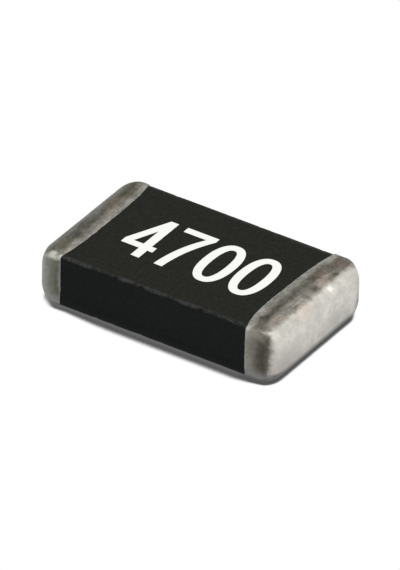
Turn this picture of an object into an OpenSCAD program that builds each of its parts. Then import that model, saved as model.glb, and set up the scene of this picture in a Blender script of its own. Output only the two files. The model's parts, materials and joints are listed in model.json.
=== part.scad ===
// Surface-mount multilayer ceramic chip capacitor: a black ceramic block with a stack of
// metal electrodes fired inside it, and a dipped and plated termination over each end.
// X runs along the chip, Z is up, and the chip stands on its terminations at z = 0.

/* [Ceramic block] */
// Length of the fired block
ceramic_l = 3.1; // [2.8:0.01:3.4]
// Width of the fired block
ceramic_w = 1.825; // [1.5:0.005:2.5]
// Height of the fired block
ceramic_h = 0.655; // [0.61:0.005:1.6]
// Radius tumbled onto the four long edges
ceramic_edge_r = 0.03; // [0.02:0.005:0.08]
// Radius tumbled over the rim of each end face
ceramic_end_r = 0.105; // [0.06:0.005:0.11]
// Corner radius of the flat that is left of each end face
ceramic_corner_r = 0.145; // [0.1:0.005:0.165]
// Length of each long edge that widens to that corner radius
ceramic_corner_l = 0.18; // [0.12:0.01:0.19]

/* [Inner electrodes] */
// Number of electrodes, which reach the left and the right end in turn
electrode_count = 16; // [4:2:20]
// Thickness of a fired electrode
electrode_t = 0.008; // [0.004:0.001:0.012]
// Ceramic left above and below the stack
cover_t = 0.135; // [0.13:0.005:0.2]
// Ceramic left between an electrode and the block's long sides
side_margin = 0.19; // [0.19:0.01:0.3]
// Ceramic left between an electrode's free end and the far end face
end_margin = 0.24; // [0.1:0.01:0.4]
// Corner radius at an electrode's free end
electrode_corner_r = 0.05; // [0.02:0.01:0.1]

/* [Terminations] */
// How far the left termination reaches along the block at its corners
left_band_l = 0.255; // [0.22:0.005:0.5]
// How far the right termination reaches along the block at its corners
right_band_l = 0.335; // [0.22:0.005:0.5]
// How much further the left termination reaches at the middle of the wide faces
left_bow = 0.045; // [0:0.005:0.12]
// How much further the right termination reaches at the middle of the wide faces
right_bow = 0.07; // [0:0.005:0.12]
// How much further both terminations reach at the middle of the narrow faces
narrow_face_bow = 0.01; // [0:0.005:0.06]
// Thickness of the copper base on the block's four long faces
copper_side_t = 0.006; // [0.005:0.001:0.03]
// Thickness of the copper base on the end face, at its rim
copper_end_t = 0.04; // [0.02:0.005:0.05]
// Height of the copper's swell at the middle of the end face
copper_swell = 0.004; // [0:0.001:0.02]
// Thickness of the nickel barrier
nickel_t = 0.002; // [0.002:0.001:0.005]
// Thickness of the tin plating
tin_t = 0.004; // [0.003:0.001:0.01]
// Length over which a layer thickens from its feather edge
feather_l = 0.035; // [0.01:0.005:0.06]

/* [Hidden] */
arc_steps = 4;
wide_steps = 10;
narrow_steps = 4;
end_steps = 5;
corner_steps = 2;
feather_steps = 3;
bow_power = 3.5;
cut_over = 0.1;

half_l = ceramic_l / 2;
half_w = ceramic_w / 2;
half_h = ceramic_h / 2;
middle_z = half_h + copper_side_t + nickel_t + tin_t;
electrode_pitch = (ceramic_h - 2 * cover_t - electrode_t) / (electrode_count - 1);

function electrode_name(i) = str(i % 2 == 1 ? "left" : "right", "_electrode_", ceil(i / 2));

// The surfaces are counted outwards: 0 is the bare ceramic, 1 the copper, 2 the nickel, 3 the tin.
// Each radius grows by what lies under it, so that no layer is ever thinner round a rim or a corner.
function plating_t(k) = (k > 1 ? nickel_t : 0) + (k > 2 ? tin_t : 0);
function side_t(k) = k == 0 ? 0 : copper_side_t + plating_t(k);
function end_t(k) = k == 0 ? 0 : copper_end_t + plating_t(k);
function swell(k) = k == 0 ? 0 : copper_swell;
function end_r(k) = ceramic_end_r + end_t(k);
function edge_r(k, depth) =
    let (share = max(0, min(1, 1 - depth / ceramic_corner_l)), eased = share * share * (3 - 2 * share))
    ceramic_edge_r + (ceramic_corner_r - ceramic_edge_r) * eased + side_t(k);

// A rounded rectangle across the chip as [y, z] points, from the middle of one corner round to the next.
function side_steps(q) = q % 2 == 0 ? wide_steps : narrow_steps;
function arc_centre(q, hw, hh, r) = [(q == 0 || q == 3 ? 1 : -1) * (hw - r), (q < 2 ? 1 : -1) * (hh - r)];
function section(hw, hh, r) = [
    for (q = [0:3])
        let (
            here = arc_centre(q, hw, hh, r),
            next = arc_centre((q + 1) % 4, hw, hh, r),
            out = r * [cos(90 * (q + 1)), sin(90 * (q + 1))],
            n = side_steps(q)
        )
        each concat(
            [for (i = [0:arc_steps]) let (a = 90 * (q + i / arc_steps)) here + r * [cos(a), sin(a)]],
            [for (i = [1:n - 1]) here + out + (next - here) * i / n]
        )
];

// How much further a termination reaches at each point of a section: nothing at the corners, most mid-face.
function bows(wide, narrow) = [
    for (q = [0:3])
        let (n = side_steps(q), most = q % 2 == 0 ? wide : narrow)
        each concat(
            [for (i = [0:arc_steps]) 0],
            [for (i = [1:n - 1]) most * (1 - pow(abs(2 * i / n - 1), bow_power))]
        )
];

// A ring of [depth, y, z] points, where depth is measured inwards from the ceramic's end face.
function ring(depths, points) = [for (j = [0:len(points) - 1]) [depths[j], points[j][0], points[j][1]]];
function level(depth, points) = ring([for (p = points) depth], points);

// Along the long faces, whose edges grow rounder, and then over the rim to the end face.
function ring_at(k, depth, proud) = level(depth, section(half_w + proud, half_h + proud, edge_r(k, depth)));
function end_rings(k) = concat(
    [for (i = [0:corner_steps - 1])
        ring_at(k, ceramic_corner_l + (ceramic_end_r - ceramic_corner_l) * i / corner_steps, side_t(k))],
    [for (i = [0:end_steps])
        let (a = 90 * i / end_steps)
        ring_at(k, end_r(k) * (1 - sin(a)) - end_t(k), side_t(k) - end_r(k) * (1 - cos(a)))]
);

// From the feather edge, which lies on the ceramic, up to the layer's full thickness. Each plating
// runs past the layer below by its own thickness.
function feather_rings(k, reach, bow) = [
    for (i = [0:feather_steps])
        let (
            share = pow(i / feather_steps, 2),
            rise = side_t(k) * sqrt(1 - pow(1 - share, 2)),
            depth = reach + plating_t(k) - feather_l * share
        )
        ring(
            [for (b = bows(bow, narrow_face_bow)) depth + b],
            section(half_w + rise, half_h + rise, ceramic_edge_r + rise)
        )
];

// Half-way across the end face, on its swell.
function swell_ring(k) =
    let (r = end_r(k), half = 0.5)
    level(
        -end_t(k) - swell(k) * (1 - half * half),
        section(half * (half_w + side_t(k) - r), half * (half_h + side_t(k) - r), half * edge_r(k, 0))
    );
function pole(k) = [-end_t(k) - swell(k), 0, 0];
function surface_rings(k, reach, bow) =
    k == 0 ? end_rings(0) : concat(feather_rings(k, reach, bow), end_rings(k), [swell_ring(k)]);

function backwards(list) = [for (i = [len(list) - 1:-1:0]) list[i]];
function at_end(points, side) = [for (p = points) [side * (half_l - p[0]), p[1], p[2]]];

// A closed skin from one pole over all the rings to the other pole. The first turned quads are
// split along their other diagonal, so that the two skins that meet on a surface agree.
module loft(first, rings, last, turned) {
    n = len(rings[0]);
    m = len(rings);
    points = concat([first], [for (r = rings) each r], [last]);
    function at(i, j) = 1 + i * n + j % n;
    polyhedron(points, concat(
        [for (j = [0:n - 1]) [0, at(0, j), at(0, j + 1)]],
        [for (i = [0:m - 2], j = [0:n - 1])
            let (a = at(i, j), b = at(i + 1, j), c = at(i + 1, j + 1), d = at(i, j + 1))
            each i < turned ? [[a, b, d], [b, c, d]] : [[a, b, c], [a, c, d]]],
        [for (j = [0:n - 1]) [at(m - 1, j), 1 + m * n, at(m - 1, j + 1)]]
    ), convexity = 4);
}

// One layer of the right termination, between surfaces k - 1 and k.
module layer(k, reach, bow) {
    inner = backwards(surface_rings(k - 1, reach, bow));
    outer = surface_rings(k, reach, bow);
    loft(
        at_end([pole(k - 1)], 1)[0],
        [for (r = concat(inner, outer)) at_end(r, 1)],
        at_end([pole(k)], 1)[0],
        len(inner) - 1
    );
}

module left_layer(k) {
    translate([0, 0, middle_z]) mirror([1, 0, 0]) layer(k, left_band_l, left_bow);
}

module right_layer(k) {
    translate([0, 0, middle_z]) layer(k, right_band_l, right_bow);
}

// The outline of an electrode that reaches the right end, run past it by over.
module electrode_outline(over) {
    free_x = end_margin - half_l;
    plate_w = ceramic_w - 2 * side_margin;
    round_x = free_x + electrode_corner_r;
    translate([round_x, -plate_w / 2]) square([half_l + over - round_x, plate_w]);
    translate([free_x, electrode_corner_r - plate_w / 2])
        square([2 * electrode_corner_r, plate_w - 2 * electrode_corner_r]);
    for (side = [-1, 1])
        translate([round_x, side * (plate_w / 2 - electrode_corner_r)])
            circle(r = electrode_corner_r, $fn = 32);
}

// Electrode i of the stack, counted from the bottom.
module electrode_plate(i, over = 0) {
    z = middle_z + (i - (electrode_count + 1) / 2) * electrode_pitch;
    translate([0, 0, z - electrode_t / 2])
        mirror([i % 2, 0, 0])
            linear_extrude(electrode_t) electrode_outline(over);
}

module electrode(i) {
    color("darkgray") electrode_plate(i);
}

// The fired block, hollow where the electrodes lie.
module ceramic_body() {
    left = [for (r = backwards(end_rings(0))) at_end(r, -1)];
    right = [for (r = end_rings(0)) at_end(r, 1)];
    color([0.11, 0.11, 0.1])
        difference() {
            translate([0, 0, middle_z])
                loft(at_end([pole(0)], -1)[0], concat(left, right), at_end([pole(0)], 1)[0], len(left) - 1);
            for (i = [1:electrode_count]) electrode_plate(i, cut_over);
        }
}

module left_copper_base() { color([0.72, 0.45, 0.3]) left_layer(1); }
module left_nickel_barrier() { color([0.66, 0.64, 0.58]) left_layer(2); }
module left_tin_plating() { color([0.72, 0.71, 0.69]) left_layer(3); }
module right_copper_base() { color([0.72, 0.45, 0.3]) right_layer(1); }
module right_nickel_barrier() { color([0.66, 0.64, 0.58]) right_layer(2); }
module right_tin_plating() { color([0.72, 0.71, 0.69]) right_layer(3); }

ceramic_body();
for (i = [1:electrode_count])
    electrode(i);
left_copper_base();
left_nickel_barrier();
left_tin_plating();
right_copper_base();
right_nickel_barrier();
right_tin_plating();
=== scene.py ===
# %% [markdown]
# A surface-mount ceramic chip capacitor is a black fired block, a few millimetres long, with a plated
# metal cap over each end. Its construction comes as a fixed frame of real solids. This lesson gives
# it its finish: satin ceramic, dull tin, white print, and a plain white studio.

# %% Load the frame
import json
import math

import bmesh
import bpy
from mathutils import Matrix, Vector


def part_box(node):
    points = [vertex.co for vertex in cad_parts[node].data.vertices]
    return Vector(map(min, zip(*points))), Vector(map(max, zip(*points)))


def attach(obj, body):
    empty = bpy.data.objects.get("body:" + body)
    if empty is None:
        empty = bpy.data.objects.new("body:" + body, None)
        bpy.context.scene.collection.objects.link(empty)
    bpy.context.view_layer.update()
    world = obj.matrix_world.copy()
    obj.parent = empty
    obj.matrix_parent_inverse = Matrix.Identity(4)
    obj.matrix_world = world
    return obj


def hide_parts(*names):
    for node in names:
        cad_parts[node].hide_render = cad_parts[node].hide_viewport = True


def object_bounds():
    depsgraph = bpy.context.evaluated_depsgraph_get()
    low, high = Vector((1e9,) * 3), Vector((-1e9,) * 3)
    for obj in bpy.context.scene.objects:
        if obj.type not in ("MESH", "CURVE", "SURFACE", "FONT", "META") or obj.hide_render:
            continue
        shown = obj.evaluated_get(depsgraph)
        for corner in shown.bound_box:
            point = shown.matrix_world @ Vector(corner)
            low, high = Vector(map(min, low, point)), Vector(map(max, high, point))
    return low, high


MM = 0.001
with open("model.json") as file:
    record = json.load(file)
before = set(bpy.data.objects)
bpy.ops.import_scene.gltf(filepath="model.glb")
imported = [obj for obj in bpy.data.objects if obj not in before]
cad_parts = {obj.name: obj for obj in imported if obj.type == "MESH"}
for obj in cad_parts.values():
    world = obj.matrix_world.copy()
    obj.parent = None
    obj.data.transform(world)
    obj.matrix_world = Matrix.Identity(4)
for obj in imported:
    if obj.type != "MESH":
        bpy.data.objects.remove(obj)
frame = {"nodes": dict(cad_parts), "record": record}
cad_low, cad_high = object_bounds()
print("frame:", len(frame["nodes"]), "nodes,", [round(v / MM, 3) for v in cad_high - cad_low], "mm")

# %% [markdown]
# The camera comes first. Seen from far away through a long lens, a chip this small has almost no
# perspective, so the view is given by two angles, a slight roll, the scale in pixels per metre, and
# the place in the picture where the chip's centre lies.

# %% Camera
PICTURE_W, PICTURE_H = 400, 570
VIEW_AZIMUTH, VIEW_ELEVATION, VIEW_ROLL = (math.radians(d) for d in (32.43, 33.32, 1.39))
PIXELS_PER_METRE = 88876
CENTRE_X, CENTRE_Y = 200.34, 280.8
CAMERA_DISTANCE = 160 * MM
SENSOR = 36.0


def view_axes():
    """The camera's right, up and back directions."""
    a, e, q = VIEW_AZIMUTH, VIEW_ELEVATION, VIEW_ROLL
    level = Vector((math.cos(a), math.sin(a), 0))
    back = Vector((math.sin(a) * math.cos(e), -math.cos(a) * math.cos(e), math.sin(e)))
    upright = back.cross(level)
    right = level * math.cos(q) + upright * math.sin(q)
    up = upright * math.cos(q) - level * math.sin(q)
    return right, up, back


def make_camera():
    right, up, back = view_axes()
    data = bpy.data.cameras.new("camera")
    data.sensor_width = SENSOR
    data.lens = SENSOR * PIXELS_PER_METRE * CAMERA_DISTANCE / PICTURE_H
    data.clip_start, data.clip_end = 10 * MM, 1000 * MM
    camera = bpy.data.objects.new("camera", data)
    bpy.context.scene.collection.objects.link(camera)
    shift_right = (PICTURE_W / 2 - CENTRE_X) / PIXELS_PER_METRE
    shift_up = (CENTRE_Y - PICTURE_H / 2) / PIXELS_PER_METRE
    aim = (cad_low + cad_high) / 2 + right * shift_right + up * shift_up
    turn = Matrix((right, up, back)).transposed().to_4x4()
    camera.matrix_world = Matrix.Translation(aim + back * CAMERA_DISTANCE) @ turn
    bpy.context.scene.camera = camera
    return camera


camera = make_camera()
print("camera: lens", round(camera.data.lens), "mm")

# %% [markdown]
# Arithmetic in node trees soon becomes a tangle of Math nodes. A small class that adds the node for
# each plus, minus or times lets the trees below be written, and read, as plain formulas.

# %% A number in a node tree


class Field:
    """A value in a node tree. Ordinary arithmetic on it adds Math nodes."""

    def __init__(self, tree, socket):
        self.tree, self.socket = tree, socket

    def maths(self, operation, *others, clamp=False):
        node = self.tree.nodes.new("ShaderNodeMath")
        node.operation, node.use_clamp = operation, clamp
        for slot, value in zip(node.inputs, (self, *others)):
            feed(self.tree, value, slot)
        return Field(self.tree, node.outputs[0])

    def __add__(self, other):
        return self.maths("ADD", other)

    def __sub__(self, other):
        return self.maths("SUBTRACT", other)

    def __rsub__(self, other):
        return self.maths("MULTIPLY", -1) + other

    def __mul__(self, other):
        return self.maths("MULTIPLY", other)

    def __truediv__(self, other):
        return self.maths("DIVIDE", other)

    def __pow__(self, other):
        return self.maths("POWER", other)

    def __abs__(self):
        return self.maths("ABSOLUTE")

    __radd__, __rmul__ = __add__, __mul__

    def clamped(self):
        return self.maths("ADD", 0, clamp=True)


def feed(tree, value, slot):
    """Joins a field or a socket to an input, or sets the input to a plain value."""
    if isinstance(value, Field):
        tree.links.new(value.socket, slot)
    elif isinstance(value, bpy.types.NodeSocket):
        tree.links.new(value, slot)
    else:
        slot.default_value = value


def add(tree, kind, settings=(), **inputs):
    """Adds a node. Names in inputs are its sockets' names, in lower case with _ for a space."""
    node = tree.nodes.new(kind)
    for key, value in dict(settings).items():
        setattr(node, key, value)
    for slot in node.inputs:
        key = slot.name.lower().replace(" ", "_")
        if key in inputs and slot.enabled:
            feed(tree, inputs.pop(key), slot)
    assert not inputs, f"{kind} has no input {list(inputs)}"
    return node


def step_up(value, low, high):
    """0 below low, 1 above high and smooth between them."""
    node = add(value.tree, "ShaderNodeMapRange", {"interpolation_type": "SMOOTHSTEP"},
               value=value, from_min=low, from_max=high)
    return Field(value.tree, node.outputs[0])


def mix_colours(tree, share, first, second, blend="MIX"):
    """first where share is 0 and second, or their blend, where it is 1."""
    node = tree.nodes.new("ShaderNodeMix")
    node.data_type, node.blend_type = "RGBA", blend
    feed(tree, share, node.inputs[0])
    for slot, colour in zip((node.inputs[6], node.inputs[7]), (first, second)):
        feed(tree, colour if not isinstance(colour, tuple) else (*colour, 1), slot)
    return node.outputs[2]


def parts(tree, vector):
    """The x, y and z of a vector."""
    split = add(tree, "ShaderNodeSeparateXYZ", vector=vector)
    return [Field(tree, socket) for socket in split.outputs]


def vector_maths(tree, operation, *values, output="Vector"):
    node = tree.nodes.new("ShaderNodeVectorMath")
    node.operation = operation
    for slot, value in zip(node.inputs, values):
        feed(tree, value, slot)
    return node.outputs[output]


def ramp(tree, value, *stops):
    """A colour that changes with a value. Each stop is a value and the colour there."""
    node = tree.nodes.new("ShaderNodeValToRGB")
    feed(tree, value, node.inputs[0])
    marks = node.color_ramp.elements
    while len(marks) < len(stops):
        marks.new(1.0)
    for mark, (place, colour) in zip(marks, stops):
        mark.position, mark.color = place, (*colour, 1)
    return node.outputs[0]


# %% [markdown]
# The studio is plain: a white floor, a soft sky and one broad lamp high on the right. The camera
# and the metal see the sky as white, while the black ceramic gets only a plain level of light from
# it. The floor stays white too, apart from a tight shadow where the chip stands on it. Each point of
# the floor looks up and back, and the more of that view the chip fills, the darker the point. It
# looks further along the block than near the caps, and two slanted lines end the shadow at the
# corners. For the faint shadow behind the chip, a point looks up and forward.

# %% Studio
SKY_LEVEL = 0.68
LAMP_LEVEL = 0.35
LAMP_FROM = Vector((0.5, -0.35, 1.0))
LAMP_WIDTH = math.radians(50)
FLOOR_HALF = 100 * MM
FLOOR_TONE = 0.8
# How far a point looks near the left cap, along the block, near the right cap and behind.
REACH_LEFT, REACH_FRONT, REACH_RIGHT, REACH_BACK = 0.1 * MM, 0.18 * MM, 0.071 * MM, 0.07 * MM
REACH_GROWS, REACH_SHRINKS = (-1.5 * MM, -0.5 * MM), (1.05 * MM, 1.45 * MM)
FRONT_LOOKS, BACK_LOOKS = (-0.2, 0.68, 0.7), (0.5, -0.5, 0.7)
# The shares of open view between which each shadow fades.
FRONT_FADES, BACK_FADES, CONTACT_FADES = (0.54, 0.84), (0.5, 0.9), (0.34, 0.44)
# The slanted lines: y + slope * x is the same all along one.
LEFT_SLOPE, LEFT_ENDS = 0.77, (-2.09 * MM, -1.98 * MM)
RIGHT_SLOPE, RIGHT_ENDS = 2.17, (4.12 * MM, 4.26 * MM)
CONTACT_ENDS = (1.0 * MM, 1.3 * MM)
SHADOW_TONE, CONTACT_GLOW = 0.088, 0.045
BACK_STRENGTH, PALER_IN_METAL = 0.75, 0.4


def seen_directly(tree):
    """1 for what the camera, a reflection or a refraction sees, and 0 for light on its way."""
    path = tree.nodes.new("ShaderNodeLightPath")
    rays = [Field(tree, path.outputs[name]) for name in
            ("Is Camera Ray", "Is Glossy Ray", "Is Transmission Ray")]
    return rays[0].maths("MAXIMUM", rays[1]).maths("MAXIMUM", rays[2])


def make_sky():
    world = bpy.data.worlds.new("sky")
    world.use_nodes = True
    tree = world.node_tree
    background = tree.nodes["Background"]
    background.inputs["Color"].default_value = (1, 1, 1, 1)
    direct = seen_directly(tree)
    feed(tree, direct * (1 - SKY_LEVEL) + SKY_LEVEL, background.inputs["Strength"])
    bpy.context.scene.world = world


def make_lamp():
    data = bpy.data.lights.new("lamp", "SUN")
    data.energy = LAMP_LEVEL * math.pi
    data.angle = LAMP_WIDTH
    lamp = bpy.data.objects.new("lamp", data)
    bpy.context.scene.collection.objects.link(lamp)
    lamp.rotation_mode = "QUATERNION"
    lamp.rotation_quaternion = LAMP_FROM.to_track_quat("Z", "Y")


def open_view(tree, direction, reach):
    """How much a point of the floor sees past the chip, around a direction and within a reach."""
    towards = vector_maths(tree, "NORMALIZE", direction)
    node = add(tree, "ShaderNodeAmbientOcclusion", {"samples": 16}, normal=towards, distance=reach)
    return Field(tree, node.outputs["AO"])


def shadow(tree):
    """How dark the floor is: how much of its white the shadows take away."""
    x, y = parts(tree, tree.nodes.new("ShaderNodeTexCoord").outputs["Object"])[:2]
    longer = step_up(x, *REACH_GROWS) * (REACH_FRONT - REACH_LEFT)
    shorter = step_up(x, *REACH_SHRINKS) * (REACH_FRONT - REACH_RIGHT)
    view = open_view(tree, FRONT_LOOKS, longer - shorter + REACH_LEFT)
    past_left = step_up(y + x * LEFT_SLOPE, *LEFT_ENDS)
    before_right = 1 - step_up(y + x * RIGHT_SLOPE, *RIGHT_ENDS)
    front = (1 - step_up(view, *FRONT_FADES)) * past_left * before_right
    back_view = open_view(tree, BACK_LOOKS, REACH_BACK)
    back = (1 - step_up(back_view, *BACK_FADES)) * BACK_STRENGTH
    contact = (1 - step_up(view, *CONTACT_FADES)) * (1 - step_up(x, *CONTACT_ENDS))
    return front.maths("MAXIMUM", back) * (1 - SHADOW_TONE - contact * CONTACT_GLOW)


def floor_material():
    material = bpy.data.materials.new("white floor")
    material.use_nodes = True
    tree = material.node_tree
    tree.nodes.clear()
    seen_in_metal = Field(tree, tree.nodes.new("ShaderNodeLightPath").outputs["Is Glossy Ray"])
    tone = 1 - shadow(tree) * (1 - seen_in_metal * PALER_IN_METAL)
    shown = add(tree, "ShaderNodeEmission", strength=tone)
    bounce = add(tree, "ShaderNodeBsdfDiffuse", color=(FLOOR_TONE,) * 3 + (1,))
    either = tree.nodes.new("ShaderNodeMixShader")
    feed(tree, seen_directly(tree), either.inputs[0])
    feed(tree, bounce.outputs[0], either.inputs[1])
    feed(tree, shown.outputs[0], either.inputs[2])
    out = tree.nodes.new("ShaderNodeOutputMaterial")
    feed(tree, either.outputs[0], out.inputs["Surface"])
    return material


def make_floor():
    mesh = bpy.data.meshes.new("floor")
    corners = [(x * FLOOR_HALF, y * FLOOR_HALF, 0) for x, y in ((-1, -1), (1, -1), (1, 1), (-1, 1))]
    mesh.from_pydata(corners, [], [(0, 1, 2, 3)])
    mesh.materials.append(floor_material())
    floor = bpy.data.objects.new("floor", mesh)
    bpy.context.scene.collection.objects.link(floor)


make_sky()
make_lamp()
make_floor()
bpy.context.scene.view_settings.view_transform = "Standard"

# %% [markdown]
# Fired ceramic, plated metal and printed ink all have a fine grain. It is a node group, made once
# and placed in each material with its own values. A group's sockets are made through its interface.

# %% Shared grain


def new_group(name, numbers, results, kind="ShaderNodeTree"):
    """A node group with these inputs and outputs. Returns it with its inputs and its last node."""
    tree = bpy.data.node_groups.new(name, kind)
    for label, kind_of_socket in results.items():
        tree.interface.new_socket(label, in_out="OUTPUT", socket_type=kind_of_socket)
    for label, value in numbers.items():
        socket = tree.interface.new_socket(label, in_out="INPUT", socket_type="NodeSocketFloat")
        socket.default_value = value
    source = tree.nodes.new("NodeGroupInput")
    inputs = {label: Field(tree, source.outputs[label]) for label in numbers}
    return tree, inputs, tree.nodes.new("NodeGroupOutput")


def grain_group():
    """Noise at two sizes, as one value around 0.5 and one height. Stretch draws it out along y."""
    numbers = {"Coarse Size": 0.05 * MM, "Fine Size": 0.012 * MM, "Stretch": 1.0, "Seed": 0.0}
    results = {"Mottle": "NodeSocketFloat", "Height": "NodeSocketFloat"}
    tree, inputs, out = new_group("grain", numbers, results)
    x, y, z = parts(tree, tree.nodes.new("ShaderNodeTexCoord").outputs["Object"])
    place = add(tree, "ShaderNodeCombineXYZ", x=x, y=y / inputs["Stretch"], z=z).outputs[0]
    values = []
    for label, detail in (("Coarse Size", 3.0), ("Fine Size", 2.0)):
        size = inputs[label]
        noise = add(tree, "ShaderNodeTexNoise", {"noise_dimensions": "4D"}, vector=place,
                    w=inputs["Seed"], scale=size.maths("POWER", -1), detail=detail)
        values.append(Field(tree, noise.outputs[0]))
    coarse, fine = values
    feed(tree, coarse * 0.65 + fine * 0.35, out.inputs["Mottle"])
    feed(tree, fine * 0.7 + coarse * 0.3, out.inputs["Height"])
    return tree


GRAIN = grain_group()
GRAIN_DEPTH = 0.0015 * MM


def place_group(tree, group, result, **values):
    node = tree.nodes.new("ShaderNodeGroup")
    node.node_tree = group
    for slot in node.inputs:
        key = slot.name.lower().replace(" ", "_")
        if key in values:
            feed(tree, values.pop(key), slot)
    return Field(tree, node.outputs[result])


def new_material(name):
    material = bpy.data.materials.new(name)
    material.use_nodes = True
    return material, material.node_tree, material.node_tree.nodes["Principled BSDF"]


def bumped(tree, height, depth, surface):
    """Gives a surface the relief of a height field, depth high from its lowest to its highest."""
    bump = add(tree, "ShaderNodeBump", height=height, distance=depth)
    feed(tree, bump.outputs[0], surface.inputs["Normal"])


def named(tree, attribute):
    """A value that the mesh carries at each of its points."""
    node = tree.nodes.new("ShaderNodeAttribute")
    node.attribute_name = attribute
    return Field(tree, node.outputs["Fac"])


# %% [markdown]
# The block is pressed from sheets and cut, then tumbled. Its top and bottom are the pressed sheets,
# a little warmer and paler than the four cut sides, which on the top is partly painted light from
# above. Its edges are grey in patches and flecks, partly from wear and partly as a painted highlight,
# and its foot is painted paler, as light from the floor. The nicks in the edges stay nearly black. The
# edges and the nicks are values that the mesh carries. The ceramic hardly shines.

# %% Ceramic
TOP_AND_BOTTOM_DARK, TOP_AND_BOTTOM_PALE = (0.0005, 0.0012, 0.0), (0.013, 0.0139, 0.0078)
SIDES_DARK, SIDES_PALE = (0.0, 0.0008, 0.0007), (0.0046, 0.0078, 0.0068)
RUB_AND_SHEEN, CHIPPED = (0.04, 0.04, 0.04), (0.002, 0.0015, 0.0005)
CERAMIC_MOTTLE = (0.38, 0.62)
TOP_AND_BOTTOM_FROM_UP = (0.6, 0.95)
EDGE_PATCHES, EDGE_FLECKS = (0.4, 0.62), (0.46, 0.6)
FOOT_FADES, FOOT_LIGHT = (0.01 * MM, 0.13 * MM), 0.2
CHIP_STRENGTH = 1.2


def ceramic_material():
    material, tree, surface = new_material("black ceramic")
    height = place_group(tree, GRAIN, "Height", coarse_size=0.06 * MM, fine_size=0.024 * MM)
    mottle = step_up(height, *CERAMIC_MOTTLE)
    texture = tree.nodes.new("ShaderNodeTexCoord")
    z, up = (parts(tree, texture.outputs[name])[2] for name in ("Object", "Normal"))
    # The top's paleness against the four sides is partly painted light from above.
    pressed = mix_colours(tree, mottle, TOP_AND_BOTTOM_DARK, TOP_AND_BOTTOM_PALE)
    cut = mix_colours(tree, mottle, SIDES_DARK, SIDES_PALE)
    faces = mix_colours(tree, step_up(abs(up), *TOP_AND_BOTTOM_FROM_UP), cut, pressed)
    uneven = place_group(tree, GRAIN, "Mottle", coarse_size=0.3 * MM, fine_size=0.035 * MM, seed=2.0)
    # The paler foot is painted light from the floor. The grey edges are partly wear and partly a painted
    # highlight.
    foot = (1 - step_up(z, *FOOT_FADES)) * FOOT_LIGHT
    flecks = place_group(tree, GRAIN, "Height", coarse_size=0.05 * MM, fine_size=0.03 * MM, seed=11.0)
    edge_pattern = (step_up(uneven, *EDGE_PATCHES) * 1.1 + 0.3) * (step_up(flecks, *EDGE_FLECKS) * 1.3 + 0.75)
    chip = named(tree, "chip")
    rub_and_sheen = named(tree, "edge") * edge_pattern * (1 - chip) + foot
    nicked = mix_colours(tree, (chip * CHIP_STRENGTH).clamped(), faces, CHIPPED)
    feed(tree, mix_colours(tree, rub_and_sheen.clamped(), nicked, RUB_AND_SHEEN), surface.inputs["Base Color"])
    feed(tree, mottle * 0.12 + 0.55, surface.inputs["Roughness"])
    surface.inputs["Specular IOR Level"].default_value = 0.1
    bumped(tree, height, GRAIN_DEPTH, surface)
    return material


# %% [markdown]
# The tin is dull and soft. From its rim to the end of the band that wraps the block it is first a
# pale line and then grey, with a dark streak of tarnish, and on the end face it is bright. The bright
# end face and the dark bands on the narrow faces are painted reflection. Such changes follow the cap,
# so they are read from values that the mesh carries: reach, the distance from the rim, flank, which is
# 1 on the narrow faces, and turn, which is 1 on the end face. Single soft spots come on top: tarnish,
# painted highlights and painted shade. The left cap's bands are darker.

# %% Tin tones
# A band's stops are shares of its length and the colours there. An end's are levels of the clouds.
# A cap turns to its end tone between two values of turn, and the third says how much that wanders.
BAND_LENGTH = 0.35 * MM
# The end tones are a painted bright reflection, and the dark band in the flank tones is a painted reflection
# too.
TIN_FINISHES = {
    "left": {
        "wide": ((0.0, (0.285, 0.278, 0.257)), (0.12, (0.255, 0.243, 0.223)), (0.3, (0.16, 0.153, 0.13)),
                 (0.43, (0.093, 0.091, 0.076)), (0.62, (0.14, 0.137, 0.123)), (1.0, (0.18, 0.175, 0.16))),
        "flank": ((0.0, (0.21, 0.212, 0.19)), (0.12, (0.108, 0.112, 0.09)), (0.35, (0.16, 0.165, 0.138)),
                  (0.55, (0.245, 0.25, 0.222)), (0.75, (0.29, 0.29, 0.265)), (0.95, (0.22, 0.218, 0.2))),
        "end": ((0.4, (0.5, 0.487, 0.45)), (0.6, (0.64, 0.617, 0.575))),
        "turns at": (0.8, 1.01, 0.32),
    },
    "right": {
        "wide": ((0.0, (0.29, 0.29, 0.265)), (0.2, (0.25, 0.247, 0.225)), (0.33, (0.15, 0.14, 0.12)),
                 (0.48, (0.13, 0.12, 0.102)), (0.62, (0.2, 0.187, 0.163)), (0.9, (0.31, 0.29, 0.265))),
        "flank": ((0.0, (0.33, 0.33, 0.305)), (0.12, (0.22, 0.212, 0.19)), (0.35, (0.16, 0.153, 0.133)),
                  (0.52, (0.09, 0.083, 0.07)), (0.7, (0.066, 0.06, 0.05)), (0.88, (0.105, 0.096, 0.082)),
                  (1.0, (0.16, 0.15, 0.13))),
        "end": ((0.4, (0.54, 0.525, 0.485)), (0.6, (0.67, 0.645, 0.6))),
        "turns at": (0.0, 0.5, 0.9),
    },
}
BROWN, DARK, OLIVE = (0.13, 0.1, 0.075), (0.07, 0.063, 0.05), (0.1, 0.098, 0.06)
PINK, PAINTED_HIGHLIGHT = (0.36, 0.3, 0.26), (0.62, 0.61, 0.56)
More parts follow.
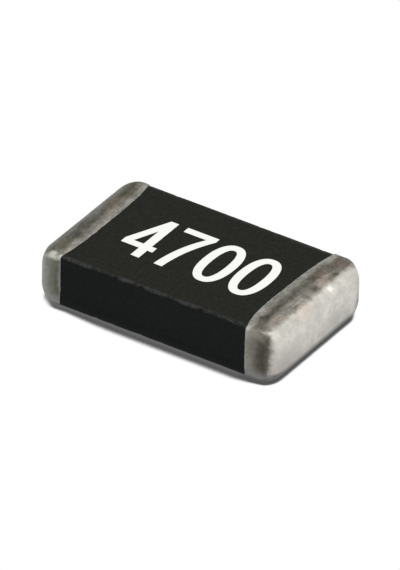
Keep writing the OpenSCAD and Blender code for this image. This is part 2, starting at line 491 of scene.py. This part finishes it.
# Each mark has its middle and its half sizes in mm, its colour and its strength. Most are tarnish;
# the painted highlights and painted shade among them are noted.
MARKS = {
    "left": (
        # A painted highlight along the top front edge.
        ((-1.38, -0.91, 0.66), (0.2, 0.05, 0.06), (0.56, 0.56, 0.51), 0.95),
        ((-1.38, 0.6, 0.68), (0.09, 0.24, 0.1), OLIVE, 0.7),
        ((-1.44, 0.37, 0.68), (0.08, 0.16, 0.1), BROWN, 0.6),
        ((-1.35, 0.19, 0.68), (0.06, 0.2, 0.1), PINK, 0.45),
        ((-1.38, -0.1, 0.68), (0.06, 0.09, 0.1), DARK, 0.8),
        ((-1.42, -0.24, 0.68), (0.09, 0.08, 0.1), DARK, 0.6),
        ((-1.36, -0.42, 0.68), (0.05, 0.12, 0.1), DARK, 0.6),
        ((-1.43, -0.68, 0.68), (0.1, 0.18, 0.1), OLIVE, 0.6),
        # Painted shade low on the narrow face, by the floor.
        ((-1.45, -0.88, 0.02), (0.2, 0.1, 0.07), (0.08, 0.08, 0.085), 0.85),
        ((-1.6, -0.5, 0.64), (0.12, 0.5, 0.13), OLIVE, 0.8),
        ((-1.6, 0.62, 0.6), (0.12, 0.3, 0.1), BROWN, 0.5),
        ((-1.6, 0.2, 0.1), (0.12, 0.7, 0.16), (0.3, 0.28, 0.25), 0.8),
        ((-1.6, 0.84, 0.3), (0.12, 0.13, 0.3), (0.25, 0.24, 0.21), 0.7),
        ((-1.6, -0.25, 0.36), (0.12, 0.3, 0.15), (0.66, 0.6, 0.54), 0.5),
    ),
    "right": (
        ((1.28, 0.48, 0.68), (0.07, 0.22, 0.1), BROWN, 0.8),
        ((1.44, 0.55, 0.68), (0.05, 0.07, 0.1), DARK, 0.7),
        ((1.42, 0.76, 0.68), (0.12, 0.13, 0.1), BROWN, 0.8),
        ((1.27, 0.31, 0.68), (0.06, 0.09, 0.1), DARK, 0.55),
        ((1.42, 0.17, 0.68), (0.055, 0.075, 0.1), DARK, 0.9),
        ((1.29, -0.67, 0.68), (0.07, 0.11, 0.1), DARK, 0.9),
        ((1.27, -0.4, 0.68), (0.05, 0.2, 0.1), DARK, 0.5),
        ((1.43, -0.6, 0.68), (0.08, 0.17, 0.1), (0.34, 0.285, 0.235), 0.65),
        ((1.42, 0.36, 0.68), (0.09, 0.15, 0.1), (0.35, 0.28, 0.24), 0.6),
        # A painted highlight along the top of the end face, and a painted glint.
        ((1.54, -0.24, 0.65), (0.09, 0.22, 0.1), (0.68, 0.6, 0.53), 0.7),
        ((1.545, 0.3, 0.65), (0.04, 0.045, 0.06), (0.9, 0.88, 0.84), 1.0),
        ((1.6, -0.75, 0.1), (0.12, 0.55, 0.4), (0.42, 0.385, 0.37), 0.6),
        ((1.6, 0.35, 0.1), (0.12, 0.4, 0.2), (0.42, 0.44, 0.4), 0.5),
        # Painted shade down the back edge of the end face.
        ((1.6, 0.89, 0.35), (0.12, 0.14, 0.6), (0.4, 0.39, 0.37), 0.85),
        ((1.5, 0.86, 0.66), (0.07, 0.07, 0.06), (0.17, 0.165, 0.15), 0.75),
        # Painted shade low at the end face's back corner.
        ((1.6, 0.6, 0.04), (0.1, 0.25, 0.08), (0.17, 0.17, 0.17), 0.7),
        ((1.6, 0.83, 0.16), (0.1, 0.11, 0.22), (0.24, 0.235, 0.23), 0.8),
        # Painted highlights on the top front edge near the rim.
        ((1.23, -0.91, 0.67), (0.06, 0.06, 0.06), PAINTED_HIGHLIGHT, 0.8),
        ((1.36, -0.92, 0.63), (0.14, 0.07, 0.11), (0.29, 0.28, 0.24), 0.7),
    ),
}

# %% [markdown]
# The material lays these tones over one another: the streaks and the end tone, then the spots, the
# mottle of the grain, and painted shade and a painted reflection of the floor low down. Clouds of
# noise make the streaks wander, and also the line where a cap turns to its end tone.

# %% Tin
FLANK_EDGE = (0.25, 0.75)
STREAKS_WANDER, FLANK_TURNS_LATER = 0.5, 0.3
SPOT_EDGE, SPOTS_WANDER = (0.1, 1.25), 0.1 * MM
MOTTLE_SHADES = (0.36, (0.52, 0.51, 0.44)), (0.5, (0.95, 0.95, 0.93)), (0.64, (1.4, 1.35, 1.32))
CALMER_END, CALMER_FLANK = 0.8, 0.6
# Painted shade on the end face: darker low down and a little brighter high up.
END_LOW, END_HIGH, END_RISES = (0.8, 0.79, 0.8), (1.05, 1.05, 1.05), (0.02 * MM, 0.5 * MM)
# The painted shade on the end face is darkest where it starts to curve under, and a little less
# dark below that.
UNDER_SHADE_TONE, UNDER_FADES = (0.32, 0.32, 0.32), (0.095 * MM, 0.16 * MM)
BELOW_SHARE, BELOW_FADES = 0.65, (0.05 * MM, 0.1 * MM)
# A painted reflection of the pale floor, low on the bands.
BAND_FOOT, BAND_FOOT_SHARE, BAND_FOOT_FADES = (0.26, 0.26, 0.265), 0.7, (0.05 * MM, 0.2 * MM)


def marked(tree, colour, place, marks):
    """Lays soft spots of other colours over a colour."""
    wobble = add(tree, "ShaderNodeTexNoise", vector=place, scale=1 / SPOTS_WANDER, detail=2.0)
    shift = vector_maths(tree, "SUBTRACT", wobble.outputs["Color"], (0.5, 0.5, 0.5))
    place = vector_maths(tree, "MULTIPLY_ADD", shift, (SPOTS_WANDER,) * 3, place)
    for middle, half, paint, strength in marks:
        centred = add(tree, "ShaderNodeMapping", {"vector_type": "TEXTURE"}, vector=place,
                      location=[v * MM for v in middle], scale=[v * MM for v in half])
        away = Field(tree, vector_maths(tree, "LENGTH", centred.outputs[0], output="Value"))
        colour = mix_colours(tree, (1 - step_up(away, *SPOT_EDGE)) * strength, colour, paint)
    return colour


def painted_low_shade_and_reflection(tree, colour, z, turned):
    """Paints shade low on a cap's end face, and a pale reflection of the floor low on its band."""
    end = mix_colours(tree, step_up(z, *END_RISES), END_LOW, END_HIGH)
    colour = mix_colours(tree, turned, colour, end, "MULTIPLY")
    below = step_up(z, *BELOW_FADES) * (1 - BELOW_SHARE) + BELOW_SHARE
    under = below * (1 - step_up(z, *UNDER_FADES)) * turned
    colour = mix_colours(tree, under, colour, UNDER_SHADE_TONE, "MULTIPLY")
    foot = (1 - step_up(z, *BAND_FOOT_FADES)) * (1 - turned)
    return mix_colours(tree, foot * BAND_FOOT_SHARE, colour, BAND_FOOT)


def tin_material(name, finish, marks=()):
    material, tree, surface = new_material(name)
    mottle, height = (place_group(tree, GRAIN, result, coarse_size=0.065 * MM, fine_size=0.025 * MM,
                                  stretch=1.8) for result in ("Mottle", "Height"))
    clouds = place_group(tree, GRAIN, "Mottle", coarse_size=0.2 * MM, fine_size=0.07 * MM, seed=7.0)
    reach, flank, turn = (named(tree, label) for label in ("reach", "flank", "turn"))
    along = reach / BAND_LENGTH + (clouds - 0.5) * STREAKS_WANDER
    # The flank tones carry a dark band of painted reflection, and the end tone is a painted bright
    # reflection.
    wide = ramp(tree, along, *finish["wide"])
    narrow = ramp(tree, along, *finish["flank"])
    band_tone = mix_colours(tree, step_up(flank, *FLANK_EDGE), wide, narrow)
    end_tone = ramp(tree, clouds, *finish["end"])
    first, last, wander = finish["turns at"]
    later = flank * ((1 - first) * FLANK_TURNS_LATER)
    turned = step_up(turn + (clouds - 0.5) * wander - later, first, last)
    place = tree.nodes.new("ShaderNodeTexCoord").outputs["Object"]
    spotted = marked(tree, mix_colours(tree, turned, band_tone, end_tone), place, marks)
    shades = ramp(tree, mottle, *MOTTLE_SHADES)
    shade_share = (1 - turned * CALMER_END) * (1 - flank * CALMER_FLANK)
    shaded = mix_colours(tree, shade_share, spotted, shades, "MULTIPLY")
    low = painted_low_shade_and_reflection(tree, shaded, parts(tree, place)[2], turned)
    feed(tree, low, surface.inputs["Base Color"])
    surface.inputs["Metallic"].default_value = 1.0
    feed(tree, mottle * 0.3 + 0.28, surface.inputs["Roughness"])
    bumped(tree, height, GRAIN_DEPTH, surface)
    return material


# %% [markdown]
# The print is a thin coat of white ink with a little of the ceramic's grain showing through.

# %% Ink
INK, INK_THIN = (0.97, 0.975, 0.945), (0.86, 0.86, 0.83)


def ink_material():
    material, tree, surface = new_material("white ink")
    mottle = place_group(tree, GRAIN, "Mottle", coarse_size=0.08 * MM, fine_size=0.015 * MM, seed=3.0)
    thin = step_up(mottle, 0.62, 0.8)
    feed(tree, mix_colours(tree, thin, INK, INK_THIN), surface.inputs["Base Color"])
    feed(tree, thin * 0.2 + 0.55, surface.inputs["Roughness"])
    surface.inputs["Specular IOR Level"].default_value = 0.2
    return material


# %% [markdown]
# Under the tin lie plated nickel and fired copper, and inside the block the fired nickel electrodes.
# None of them shows, but each keeps the finish of its metal: one recipe with three sets of values.

# %% Inner metals


def inner_metal(name, dark, pale, size, roughness):
    material, tree, surface = new_material(name)
    mottle = place_group(tree, GRAIN, "Mottle", coarse_size=size, fine_size=size / 4, seed=5.0)
    mask = step_up(mottle, 0.35, 0.65)
    feed(tree, mix_colours(tree, mask, dark, pale), surface.inputs["Base Color"])
    feed(tree, mask * 0.15 + roughness, surface.inputs["Roughness"])
    surface.inputs["Metallic"].default_value = 1.0
    bumped(tree, mottle, 0.001 * MM, surface)
    return material


FINISHES = {
    "ceramic": ceramic_material(),
    "tin": tin_material("dull tin", TIN_FINISHES["right"]),
    "copper": inner_metal("fired copper", (0.42, 0.18, 0.1), (0.62, 0.32, 0.2), 0.03 * MM, 0.45),
    "nickel": inner_metal("plated nickel", (0.42, 0.4, 0.35), (0.55, 0.52, 0.46), 0.02 * MM, 0.35),
    "electrode": inner_metal("fired nickel", (0.3, 0.29, 0.27), (0.45, 0.43, 0.4), 0.015 * MM, 0.5),
}
slots = {row["node"]: row["material_slot"] for row in frame["record"]["subparts"]}
for name, piece in frame["nodes"].items():
    piece.data.materials.clear()
    piece.data.materials.append(FINISHES[slots[name]])
print("finishes:", ", ".join(sorted(FINISHES)))

# %% [markdown]
# Every surface of the chip is a loft: one rounded rectangle that changes its size and corners as it
# moves along the chip. Geometry Nodes can build it from a grid. Each row of the grid is a section
# and each column a place round it. The column is looked up on a rounded rectangle, drawn once, as a
# place on its core and a direction out of it, so that any section is core + radius x direction.

# %% A loft from a grid
SEAM = 1e-5 * MM
FILLET_POINTS = 16


def new_shape(name, numbers):
    results = {"Mesh": "NodeSocketGeometry"}
    tree, inputs, out = new_group(name, numbers, results, "GeometryNodeTree")
    tree.interface.new_socket("Material", in_out="INPUT", socket_type="NodeSocketMaterial")
    return tree, inputs, out


def grid(tree, rows, columns):
    """A grid to be shaped, with each point's row and its share of the way round."""
    sheet = add(tree, "GeometryNodeMeshGrid", vertices_x=rows, vertices_y=columns)
    index = Field(tree, tree.nodes.new("GeometryNodeInputIndex").outputs[0])
    row = (index / columns + 0.5 / columns).maths("FLOOR")
    column = index - row * columns
    return sheet.outputs["Mesh"], row, column / (columns - 1)


def round_section(tree, half_w, half_h, radius, around):
    """Where each column lies on a rounded rectangle: across and up, first core, then direction."""
    outline = add(tree, "GeometryNodeCurvePrimitiveQuadrilateral", width=half_w * 2, height=half_h * 2)
    fillet = add(tree, "GeometryNodeFilletCurve", {"mode": "POLY"}, curve=outline.outputs[0],
                 count=FILLET_POINTS, radius=radius)
    looked_up = add(tree, "GeometryNodeSampleCurve", {"use_all_curves": True},
                    curves=fillet.outputs[0], factor=around)
    cores, directions = [], []
    for place, half in zip(parts(tree, looked_up.outputs["Position"]), (half_w, half_h)):
        most = half - radius
        core = place.maths("MINIMUM", most).maths("MAXIMUM", most * -1)
        cores.append(core / most)
        directions.append((place - core) / radius)
    return cores, directions


def lofted(tree, sheet, x, half_w, half_h, radius, section, share, middle_z):
    """Moves the grid's points to their sections, closes seam and poles and turns the faces out."""
    (across, up), (out_y, out_z) = section
    y = share * (across * (half_w - radius) + out_y * radius)
    z = share * (up * (half_h - radius) + out_z * radius) + middle_z
    place = add(tree, "ShaderNodeCombineXYZ", x=x, y=y, z=z)
    shaped = add(tree, "GeometryNodeSetPosition", geometry=sheet, position=place.outputs[0])
    closed = add(tree, "GeometryNodeMergeByDistance", geometry=shaped.outputs[0], distance=SEAM)
    outward = add(tree, "GeometryNodeFlipFaces", mesh=closed.outputs[0])
    smooth = add(tree, "GeometryNodeSetShadeSmooth", geometry=outward.outputs[0])
    return smooth.outputs[0]


def stored(tree, geometry, **values):
    """Writes each value to the mesh under its name, for the material to read."""
    for name, value in values.items():
        node = add(tree, "GeometryNodeStoreNamedAttribute", geometry=geometry, name=name, value=value)
        geometry = node.outputs[0]
    return geometry


def kept(tree, name):
    """A value that the mesh carries, read back after its points were merged."""
    return Field(tree, add(tree, "GeometryNodeInputNamedAttribute", name=name).outputs["Attribute"])


def noise_at(tree, size, detail, seed):
    """Noise around 0, from a field's or a plain number's size."""
    scale = size.maths("POWER", -1) if isinstance(size, Field) else 1 / size
    noise = add(tree, "ShaderNodeTexNoise", {"noise_dimensions": "4D"}, w=seed, scale=scale, detail=detail)
    return Field(tree, noise.outputs[0]) - 0.5


def moved_out(tree, geometry, distance):
    """Moves each point along its normal, but never below the ground."""
    normal = tree.nodes.new("GeometryNodeInputNormal").outputs[0]
    move = add(tree, "ShaderNodeVectorMath", {"operation": "SCALE"}, vector=normal, scale=distance)
    moved = add(tree, "GeometryNodeSetPosition", geometry=geometry, offset=move.outputs[0])
    x, y, z = parts(tree, tree.nodes.new("GeometryNodeInputPosition").outputs[0])
    place = add(tree, "ShaderNodeCombineXYZ", x=x, y=y, z=z.maths("MAXIMUM", 0.0))
    return add(tree, "GeometryNodeSetPosition", geometry=moved.outputs[0],
               position=place.outputs[0]).outputs[0]


def finish_shape(tree, geometry, out):
    """Ends a tree as every tree here ends: real faces, with their material."""
    real = add(tree, "GeometryNodeRealizeInstances", geometry=geometry)
    source = next(node for node in tree.nodes if node.type == "GROUP_INPUT")
    painted = add(tree, "GeometryNodeSetMaterial", geometry=real.outputs[0],
                  material=source.outputs["Material"])
    feed(tree, painted.outputs[0], out.inputs["Mesh"])


def grown(name, tree, material, values):
    """Runs a tree and returns its result as a plain mesh object."""
    piece = bpy.data.objects.new(name, bpy.data.meshes.new(name))
    bpy.context.scene.collection.objects.link(piece)
    modifier = piece.modifiers.new("shape", "NODES")
    modifier.node_group = tree
    identifiers = {item.name: item.identifier for item in tree.interface.items_tree}
    for label, value in {**values, "Material": material}.items():
        modifier[identifiers[label]] = value
    depsgraph = bpy.context.evaluated_depsgraph_get()
    mesh = bpy.data.meshes.new_from_object(piece.evaluated_get(depsgraph))
    piece.modifiers.remove(modifier)
    piece.data = mesh
    mesh.name = name
    print(name + ":", len(mesh.polygons), "faces")
    return piece


# %% [markdown]
# A cap is a thin shell of tin. Seen along the chip, its outer skin rises from a feather edge on the
# ceramic, runs level, turns over the rounded rim and crosses the end face with a slight swell. The
# inner skin does the same one plating's thickness deeper. Both come from one grid, whose first half
# is the inner skin read from the end face back to the edge. The outer skin is slightly uneven, and
# its rim wanders a little.

# %% Tin caps
CAP_COLUMNS, CAP_ROWS = 401, 80
FEATHER_ENDS, BAND_ENDS, RIM_ENDS = 0.1, 0.34, 0.64
BOW_POWER = 3.5
RIM_WAVE_SCALE = 60.0
BROAD_WAVES, FINE_WAVES, FINE_SHARE = 0.14 * MM, 0.045 * MM, 0.4


def widened(i, depth):
    """The radius of the long edges, which grows towards the end face."""
    share = 1 - step_up(depth, 0.0, i["Corner Length"])
    return i["Edge Radius"] + (i["Corner Radius"] - i["Edge Radius"]) * share


def cap_shape():
    numbers = {
        "Side": 1.0, "Half Width": 0.0, "Half Height": 0.0, "Middle": 0.0, "End": 0.0, "Rim": 0.0,
        "Edge Radius": 0.0, "Corner Radius": 0.0, "Corner Length": 0.0, "Ceramic End": 0.0,
        "End Radius": 0.0, "Swell": 0.0, "Layers": 0.0, "Tin": 0.0, "Feather": 0.0, "Wide Bow": 0.0,
        "Lean": 0.0, "Narrow Bow": 0.0, "Unevenness": 0.0, "Rim Waves": 0.0, "Seed": 0.0,
    }
    tree, i, out = new_shape("plated cap", numbers)
    sheet, row, around = grid(tree, 2 * CAP_ROWS, CAP_COLUMNS)
    outer = row.maths("GREATER_THAN", CAP_ROWS - 0.5)
    v = (abs(row - (CAP_ROWS - 0.5)) - 0.5) / (CAP_ROWS - 1)
    deeper = i["Tin"] * (1 - outer)
    section = round_section(tree, i["Half Width"], i["Half Height"], i["Corner Radius"], around)
    (across, up), (out_y, _) = section
    feather = (v / FEATHER_ENDS).clamped() ** 2
    level = ((v - FEATHER_ENDS) / (BAND_ENDS - FEATHER_ENDS)).clamped()
    angle = ((v - BAND_ENDS) / (RIM_ENDS - BAND_ENDS)).clamped() * (math.pi / 2)
    inward = ((v - RIM_ENDS) / (1 - RIM_ENDS)).clamped()
    turn = angle.maths("SINE")
    thin = 1 - (1 - (1 - feather) ** 2).maths("MAXIMUM", 0.0).maths("SQRT")
    wide_bow = (1 - abs(across) ** BOW_POWER) * i["Wide Bow"] * (1 - across * i["Lean"])
    bow = wide_bow + (1 - abs(up) ** BOW_POWER) * i["Narrow Bow"]
    around_noise = add(tree, "ShaderNodeTexNoise", {"noise_dimensions": "1D"}, scale=RIM_WAVE_SCALE,
                       detail=2.0, w=around + i["Seed"])
    waves = Field(tree, around_noise.outputs[0]) * i["Rim Waves"] * outer
    foot = i["Rim"] - bow + deeper - waves
    end_radius = i["End Radius"] - deeper
    turn_starts = i["End"] - i["End Radius"]
    x = (foot + i["Feather"] * feather + (turn_starts - foot - i["Feather"]) * level
         + end_radius * turn + i["Swell"] * (1 - (1 - inward) ** 2))
    lost = (i["Layers"] - deeper) * thin
    sink = deeper + lost + end_radius * (1 - angle.maths("COSINE"))
    radius = widened(i, i["Ceramic End"] - x) - deeper - lost
    sheet = stored(tree, sheet, turn=turn, reach=x - foot, flank=out_y ** 2, outside=outer * (1 - thin))
    shell = lofted(tree, sheet, x * i["Side"], i["Half Width"] - sink, i["Half Height"] - sink,
                   radius, section, 1 - inward, i["Middle"])
    fine = noise_at(tree, FINE_WAVES, 2.0, i["Seed"]) * FINE_SHARE
    waviness = noise_at(tree, BROAD_WAVES, 1.0, i["Seed"]) + fine
    right_way = add(tree, "GeometryNodeFlipFaces", mesh=shell,
                    selection=i["Side"].maths("LESS_THAN", 0.0))
    uneven = moved_out(tree, right_way.outputs[0], waviness * i["Unevenness"] * kept(tree, "outside"))
    finish_shape(tree, uneven, out)
    return tree


EDGE_RADIUS, CORNER_RADIUS, END_RADIUS, CORNER_LENGTH = 0.03 * MM, 0.145 * MM, 0.105 * MM, 0.18 * MM
SWELL = 0.004 * MM
ceramic_low, ceramic_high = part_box("ceramic_body")
tin_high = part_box("right_tin_plating")[1]
half_l, half_w, half_h = (ceramic_high - ceramic_low) / 2
middle_z = (ceramic_low.z + ceramic_high.z) / 2
layers_side = tin_high.y - ceramic_high.y
layers_end = tin_high.x - ceramic_high.x - SWELL
tin = tin_high.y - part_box("right_nickel_barrier")[1].y
print("layers:", round(layers_side / MM, 3), "mm on the faces,", round(layers_end / MM, 3), "mm on the ends")

CAP = {
    "Half Width": half_w + layers_side, "Half Height": half_h + layers_side, "Middle": middle_z,
    "End": half_l + layers_end, "Ceramic End": half_l, "Swell": SWELL, "Layers": layers_side, "Tin": tin,
    "Edge Radius": EDGE_RADIUS + layers_side, "Corner Radius": CORNER_RADIUS + layers_side,
    "Corner Length": CORNER_LENGTH, "End Radius": END_RADIUS + layers_end, "Feather": 0.035 * MM,
    "Unevenness": 0.006 * MM, "Rim Waves": 0.012 * MM,
}
SIDES = {
    "left": {"Side": -1.0, "Wide Bow": 0.045 * MM, "Lean": 0.0, "Seed": 4.0, "Narrow Bow": 0.002 * MM},
    "right": {"Side": 1.0, "Wide Bow": 0.07 * MM, "Lean": 0.3, "Seed": 9.0, "Narrow Bow": 0.01 * MM},
}
# How much further along the block each rim reaches than its solid's, before its waves.
RIM_SHIFT = {"left": -0.002 * MM, "right": 0.007 * MM}
cap_tree = cap_shape()
for side, values in SIDES.items():
    low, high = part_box(side + "_tin_plating")
    nearest = -high.x if side == "left" else low.x
    rim = nearest + values["Wide Bow"] - RIM_SHIFT[side]
    finish = tin_material(side + " tin", TIN_FINISHES[side], MARKS[side])
    cap = grown(side + "_cap", cap_tree, finish, {**CAP, **values, "Rim": rim})
    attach(cap, "root")
    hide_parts(side + "_tin_plating")

# %% [markdown]
# The fired block is the same loft run from one end to the other. Between the caps its edges have
# small nicks, which are noise that pushes only the rounded edges in. How far each point was pushed is
# kept on the mesh, for the ceramic to be darker there. The electrodes lie in the block as they were
# fired, so their copies cut their own slots out of it.

# %% Ceramic block
BLOCK_COLUMNS, BLOCK_ROWS = 301, 150
LONG_ENDS, TURN_ENDS = 0.8, 0.9
EDGE_ON_TOP, EDGE_ON_SIDE = 0.075 * MM, 0.03 * MM
CHIP_EDGE, CHIPS_FADE = (0.02, 0.2), 0.1 * MM


def block_shape():
    numbers = {
        "Half Length": 0.0, "Half Width": 0.0, "Half Height": 0.0, "Middle": 0.0, "Edge Radius": 0.0,
        "Corner Radius": 0.0, "Corner Length": 0.0, "End Radius": 0.0, "Chips": 0.0, "Chip Size": 0.0,
        "Chipped To": 0.0, "Seed": 0.0,
    }
    tree, i, out = new_shape("fired block", numbers)
    sheet, row, around = grid(tree, 2 * BLOCK_ROWS, BLOCK_COLUMNS)
    middle = BLOCK_ROWS - 0.5
    v = abs(row - middle) / middle
    side = row.maths("GREATER_THAN", middle) * 2 - 1
    section = round_section(tree, i["Half Width"], i["Half Height"], i["Corner Radius"], around)
    (across, up), (out_y, out_z) = section
    level = (v / LONG_ENDS).clamped()
    angle = ((v - LONG_ENDS) / (TURN_ENDS - LONG_ENDS)).clamped() * (math.pi / 2)
    inward = ((v - TURN_ENDS) / (1 - TURN_ENDS)).clamped()
    turn = angle.maths("SINE")
    x = (i["Half Length"] - i["End Radius"]) * level + i["End Radius"] * turn
    sink = i["End Radius"] * (1 - angle.maths("COSINE"))
    radius = widened(i, i["Half Length"] - x)
    across_gap = i["Half Width"] - abs(across * (i["Half Width"] - radius) + out_y * radius)
    up_gap = i["Half Height"] - abs(up * (i["Half Height"] - radius) + out_z * radius)
    edge = 1 - step_up(across_gap / EDGE_ON_TOP + up_gap / EDGE_ON_SIDE, 0.0, 1.0)
    exposed = 1 - step_up(x, i["Chipped To"] - CHIPS_FADE, i["Chipped To"])
    sheet = stored(tree, sheet, edge=edge, exposed=(abs(out_y) * abs(out_z) * 2) ** 0.5 * exposed)
    shell = lofted(tree, sheet, x * side, i["Half Width"] - sink, i["Half Height"] - sink, radius,
                   section, 1 - inward, i["Middle"])
    chips = noise_at(tree, i["Chip Size"], 3.0, i["Seed"])
    chip = step_up(chips, *CHIP_EDGE) * kept(tree, "exposed")
    chipped = moved_out(tree, stored(tree, shell, chip=chip), kept(tree, "chip") * i["Chips"] * -1)
    finish_shape(tree, chipped, out)
    return tree


def cutter_from(nodes, end, beyond):
    """One mesh of the nodes' shapes, each run past the end of the block that it reaches."""
    cut = bmesh.new()
    for name in nodes:
        cut.from_mesh(frame["nodes"][name].data)
    bmesh.ops.remove_doubles(cut, verts=cut.verts, dist=SEAM)
    for vertex in cut.verts:
        if abs(vertex.co.x) > end - SEAM * 10:
            vertex.co.x += math.copysign(beyond, vertex.co.x)
    mesh = bpy.data.meshes.new("slots")
    cut.to_mesh(mesh)
    cut.free()
    slots = bpy.data.objects.new("slots", mesh)
    bpy.context.scene.collection.objects.link(slots)
    return slots


block = grown("ceramic_block", block_shape(), FINISHES["ceramic"], {
    "Half Length": half_l, "Half Width": half_w, "Half Height": half_h, "Middle": middle_z,
    "Edge Radius": EDGE_RADIUS, "Corner Radius": CORNER_RADIUS, "Corner Length": CORNER_LENGTH,
    "End Radius": END_RADIUS, "Chips": 0.006 * MM, "Chip Size": 0.07 * MM, "Chipped To": 1.2 * MM,
    "Seed": 6.0,
})
slots_cutter = cutter_from([n for n in frame["nodes"] if "electrode" in n], half_l, 0.1 * MM)
cut = block.modifiers.new("slots", "BOOLEAN")
cut.object, cut.operation, cut.solver = slots_cutter, "DIFFERENCE", "MANIFOLD"
bpy.context.view_layer.update()
hollow = bpy.data.meshes.new_from_object(block.evaluated_get(bpy.context.evaluated_depsgraph_get()))
block.modifiers.remove(cut)
block.data = hollow
bpy.data.objects.remove(slots_cutter)
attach(block, "root")
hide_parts("ceramic_body")
print("ceramic_block with slots:", len(hollow.polygons), "faces")

# %% [markdown]
# The print is four condensed figures of a plain number. Each figure is drawn as outlines: the nought
# is a superellipse in another, and the rest are straight sides with a curve or two. A flat curve
# fills outlines that lie inside each other as holes, so it does the lettering well, and becomes a
# mesh before it is moved into place.

# %% Print
NUMBER = "4700"
FIGURE_W, FIGURE_H, FIGURE_PITCH = 0.42, 0.83, 0.477
STROKE, BAR = 0.11, 0.098
PRINT_X, PRINT_Y = -0.912, -0.424
INK_THICKNESS = 0.004
OVAL_POINTS, OVAL_POWER = 64, 2.3


def superellipse(half_w, half_h):
    """An oval with fuller shoulders than an ellipse, around the middle of a figure."""
    points = []
    for step in range(OVAL_POINTS):
        c, s = math.cos(math.tau * step / OVAL_POINTS), math.sin(math.tau * step / OVAL_POINTS)
        x = math.copysign(abs(c) ** (2 / OVAL_POWER), c) * half_w
        y = math.copysign(abs(s) ** (2 / OVAL_POWER), s) * half_h
        points.append((FIGURE_W / 2 + x, FIGURE_H / 2 + y))
    return points


def swept(start, pull, end, steps=12):
    """Points of a curve from start to end that is pulled towards a third point."""
    points = []
    for step in range(steps + 1):
        t = step / steps
        points.append(tuple((1 - t) ** 2 * a + 2 * t * (1 - t) * b + t * t * c
                            for a, b, c in zip(start, pull, end)))
    return points


def scaled(*shares):
    return [(x * FIGURE_W, y * FIGURE_H) for x, y in shares]


def nought():
    return [superellipse(FIGURE_W / 2, FIGURE_H / 2),
            superellipse(FIGURE_W / 2 - STROKE, FIGURE_H / 2 - BAR)]


def four():
    stem_left = 0.84 - STROKE / FIGURE_W
    outside = scaled((0, 0.21), (0, 0.325), (stem_left + 0.02, 1), (0.84, 1), (0.84, 0.325), (1, 0.325),
                     (1, 0.21), (0.84, 0.21), (0.84, 0), (stem_left, 0), (stem_left, 0.21))
    inside = scaled((0.26, 0.325), (stem_left, 0.325), (stem_left, 0.7))
    return [outside, inside]


def seven():
    right = swept(*scaled((1, 0.91), (0.52, 0.5), (0.44, 0)))
    left = swept(*scaled((0.18, 0), (0.26, 0.5), (0.73, 0.885)))
    return [scaled((0, 0.885), (0, 1), (1, 1)) + right + left]


FIGURES = {"0": nought, "4": four, "7": seven}


def print_curve():
    curve = bpy.data.curves.new("number_print", "CURVE")
    curve.dimensions, curve.fill_mode = "2D", "BOTH"
    curve.extrude = INK_THICKNESS / 2
    for place, figure in enumerate(NUMBER):
        for outline in FIGURES[figure]():
            spline = curve.splines.new("POLY")
            spline.points.add(len(outline) - 1)
            spline.use_cyclic_u = True
            for point, (x, y) in zip(spline.points, outline):
                point.co = (PRINT_X + place * FIGURE_PITCH + x, PRINT_Y + y, 0, 1)
    return curve


def make_print():
    drawn = bpy.data.objects.new("number_print", print_curve())
    bpy.context.scene.collection.objects.link(drawn)
    mesh = bpy.data.meshes.new_from_object(drawn.evaluated_get(bpy.context.evaluated_depsgraph_get()))
    bpy.data.objects.remove(drawn)
    top = ceramic_high.z + INK_THICKNESS / 2 * MM
    mesh.transform(Matrix.Translation((0, 0, top)) @ Matrix.Scale(MM, 4))
    merged = bmesh.new()
    merged.from_mesh(mesh)
    bmesh.ops.remove_doubles(merged, verts=merged.verts, dist=SEAM)
    bmesh.ops.recalc_face_normals(merged, faces=merged.faces)
    merged.to_mesh(mesh)
    merged.free()
    mesh.materials.clear()
    mesh.materials.append(ink_material())
    piece = bpy.data.objects.new("number_print", mesh)
    bpy.context.scene.collection.objects.link(piece)
    return piece


number = make_print()
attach(number, "root")
print("number_print:", len(number.data.polygons), "faces")
